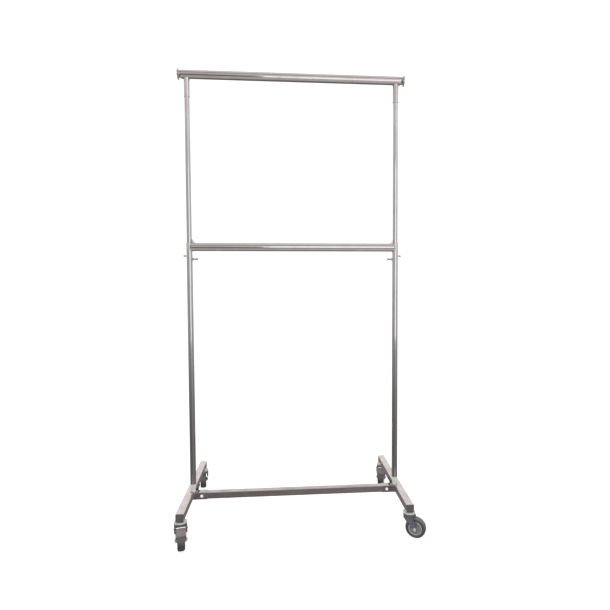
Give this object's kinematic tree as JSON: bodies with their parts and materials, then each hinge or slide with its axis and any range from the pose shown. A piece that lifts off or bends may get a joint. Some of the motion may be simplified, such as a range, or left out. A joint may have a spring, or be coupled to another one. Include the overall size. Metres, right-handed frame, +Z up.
{
  "type": "rolling garment rack",
  "caption": "Straight rolling garment rack: chrome round-tube hanging rails on telescoping uprights over a square-tube base with swivel casters.",
  "frame": {"origin": "on the floor under the middle of the two legs", "axes": "+X to the right along the rails, +Y towards the back, +Z up"},
  "size_m": [1.0443, 0.6887, 1.9915],
  "materials": {
    "chrome": "polished plating",
    "bright_zinc": "bright zinc plate",
    "caster_steel": "grey zinc plate",
    "screw_steel": "satin nickel plate",
    "lever_black": "dark enamel",
    "cap_plastic": "moulded",
    "hub_plastic": "moulded",
    "tyre": "rubber tread"
  },
  "bodies": {
    "base_frame": {"left_leg": "chrome", "right_leg": "chrome", "left_bar_sleeve": "chrome", "right_bar_sleeve": "chrome", "crossbar": "chrome", "bar_bolts": "bright_zinc", "bar_nuts": "bright_zinc", "front_left_leg_cap": "cap_plastic", "front_right_leg_cap": "cap_plastic", "rear_left_leg_cap": "cap_plastic", "rear_right_leg_cap": "cap_plastic", "left_upright_socket": "chrome", "right_upright_socket": "chrome", "left_lower_upright": "chrome", "right_lower_upright": "chrome", "left_rail_collar": "chrome", "right_rail_collar": "chrome", "middle_rail": "chrome", "left_screw_boss": "screw_steel", "right_screw_boss": "screw_steel", "left_plunger_bush": "screw_steel", "right_plunger_bush": "screw_steel", "front_left_ring": "bright_zinc", "front_right_ring": "bright_zinc", "rear_left_ring": "bright_zinc", "rear_right_ring": "bright_zinc"},
    "upper_frame": {"left_upper_upright": "chrome", "right_upper_upright": "chrome", "top_rail": "chrome", "left_top_socket": "chrome", "right_top_socket": "chrome", "top_socket_screws": "bright_zinc", "left_end_flange": "chrome", "right_end_flange": "chrome"},
    "left_lever": {"left_lever_screw": "lever_black"},
    "left_thumb": {"left_thumb_screw": "screw_steel"},
    "left_plunger_pin": {"left_plunger": "screw_steel"},
    "right_lever": {"right_lever_screw": "lever_black"},
    "right_thumb": {"right_thumb_screw": "screw_steel"},
    "right_plunger_pin": {"right_plunger": "screw_steel"},
    "front_left_swivel": {"front_left_fork": "caster_steel", "front_left_axle": "bright_zinc"},
    "front_left_wheel": {"front_left_hub": "hub_plastic", "front_left_tyre": "tyre"},
    "front_right_swivel": {"front_right_fork": "caster_steel", "front_right_axle": "bright_zinc"},
    "front_right_wheel": {"front_right_hub": "hub_plastic", "front_right_tyre": "tyre"},
    "rear_left_swivel": {"rear_left_fork": "caster_steel", "rear_left_axle": "bright_zinc"},
    "rear_left_wheel": {"rear_left_hub": "hub_plastic", "rear_left_tyre": "tyre"},
    "rear_right_swivel": {"rear_right_fork": "caster_steel", "rear_right_axle": "bright_zinc"},
    "rear_right_wheel": {"rear_right_hub": "hub_plastic", "rear_right_tyre": "tyre"},
    "front_left_pedal": {"front_left_brake": "caster_steel"},
    "rear_right_pedal": {"rear_right_brake": "caster_steel"}
  },
  "joints": [
    {"name": "height_slide", "type": "slide", "parent": "base_frame", "child": "upper_frame", "axis": [0, 0, 1], "range_m": [-0.6, 0.08]},
    {"name": "left_lever_turn", "type": "hinge", "parent": "base_frame", "child": "left_lever", "pos_m": [-0.4395, -0.077, 0.152], "axis": [1, 0, 0], "range_deg": [-12, 192]},
    {"name": "left_thumb_turn", "type": "hinge", "parent": "base_frame", "child": "left_thumb", "pos_m": [-0.44, -0.077, 1.177], "axis": [1, 0, 0], "range_deg": [-90, 1080]},
    {"name": "left_plunger_pull", "type": "slide", "parent": "base_frame", "child": "left_plunger_pin", "axis": [-1, 0, 0], "range_m": [0, 0.004], "stiffness_N_per_m": 400, "springref_m": -0.003},
    {"name": "right_lever_turn", "type": "hinge", "parent": "base_frame", "child": "right_lever", "pos_m": [0.4395, -0.077, 0.152], "axis": [1, 0, 0], "range_deg": [-12, 192]},
    {"name": "right_thumb_turn", "type": "hinge", "parent": "base_frame", "child": "right_thumb", "pos_m": [0.44, -0.077, 1.177], "axis": [1, 0, 0], "range_deg": [-90, 1080]},
    {"name": "right_plunger_pull", "type": "slide", "parent": "base_frame", "child": "right_plunger_pin", "axis": [1, 0, 0], "range_m": [0, 0.004], "stiffness_N_per_m": 400, "springref_m": -0.003},
    {"name": "front_left_swivel_turn", "type": "hinge", "parent": "base_frame", "child": "front_left_swivel", "pos_m": [-0.4729, -0.274, 0.1], "axis": [0, 0, 1], "continuous": true},
    {"name": "front_left_wheel_roll", "type": "hinge", "parent": "front_left_swivel", "child": "front_left_wheel", "pos_m": [-0.46613, -0.30117, 0.0425], "axis": [0.9703, 0.2419, 0], "continuous": true},
    {"name": "front_right_swivel_turn", "type": "hinge", "parent": "base_frame", "child": "front_right_swivel", "pos_m": [0.4729, -0.274, 0.1], "axis": [0, 0, 1], "continuous": true},
    {"name": "front_right_wheel_roll", "type": "hinge", "parent": "front_right_swivel", "child": "front_right_wheel", "pos_m": [0.49785, -0.28671, 0.0425], "axis": [0.454, 0.891, 0], "continuous": true},
    {"name": "rear_left_swivel_turn", "type": "hinge", "parent": "base_frame", "child": "rear_left_swivel", "pos_m": [-0.4729, 0.274, 0.1], "axis": [0, 0, 1], "continuous": true},
    {"name": "rear_left_wheel_roll", "type": "hinge", "parent": "rear_left_swivel", "child": "rear_left_wheel", "pos_m": [-0.47776, 0.30157, 0.0425], "axis": [-0.9848, -0.1736, 0], "continuous": true},
    {"name": "rear_right_swivel_turn", "type": "hinge", "parent": "base_frame", "child": "rear_right_swivel", "pos_m": [0.4729, 0.274, 0.1], "axis": [0, 0, 1], "continuous": true},
    {"name": "rear_right_wheel_roll", "type": "hinge", "parent": "rear_right_swivel", "child": "rear_right_wheel", "pos_m": [0.46378, 0.24753, 0.0425], "axis": [0.9455, -0.3256, 0], "continuous": true},
    {"name": "front_left_brake_press", "type": "hinge", "parent": "front_left_swivel", "child": "front_left_pedal", "pos_m": [-0.46951, -0.28758, 0.082], "axis": [0.9703, 0.2419, 0], "range_deg": [-6, 4]},
    {"name": "rear_right_brake_press", "type": "hinge", "parent": "rear_right_swivel", "child": "rear_right_pedal", "pos_m": [0.46834, 0.26076, 0.082], "axis": [0.9455, -0.3256, 0], "range_deg": [-6, 4]}
  ]
}
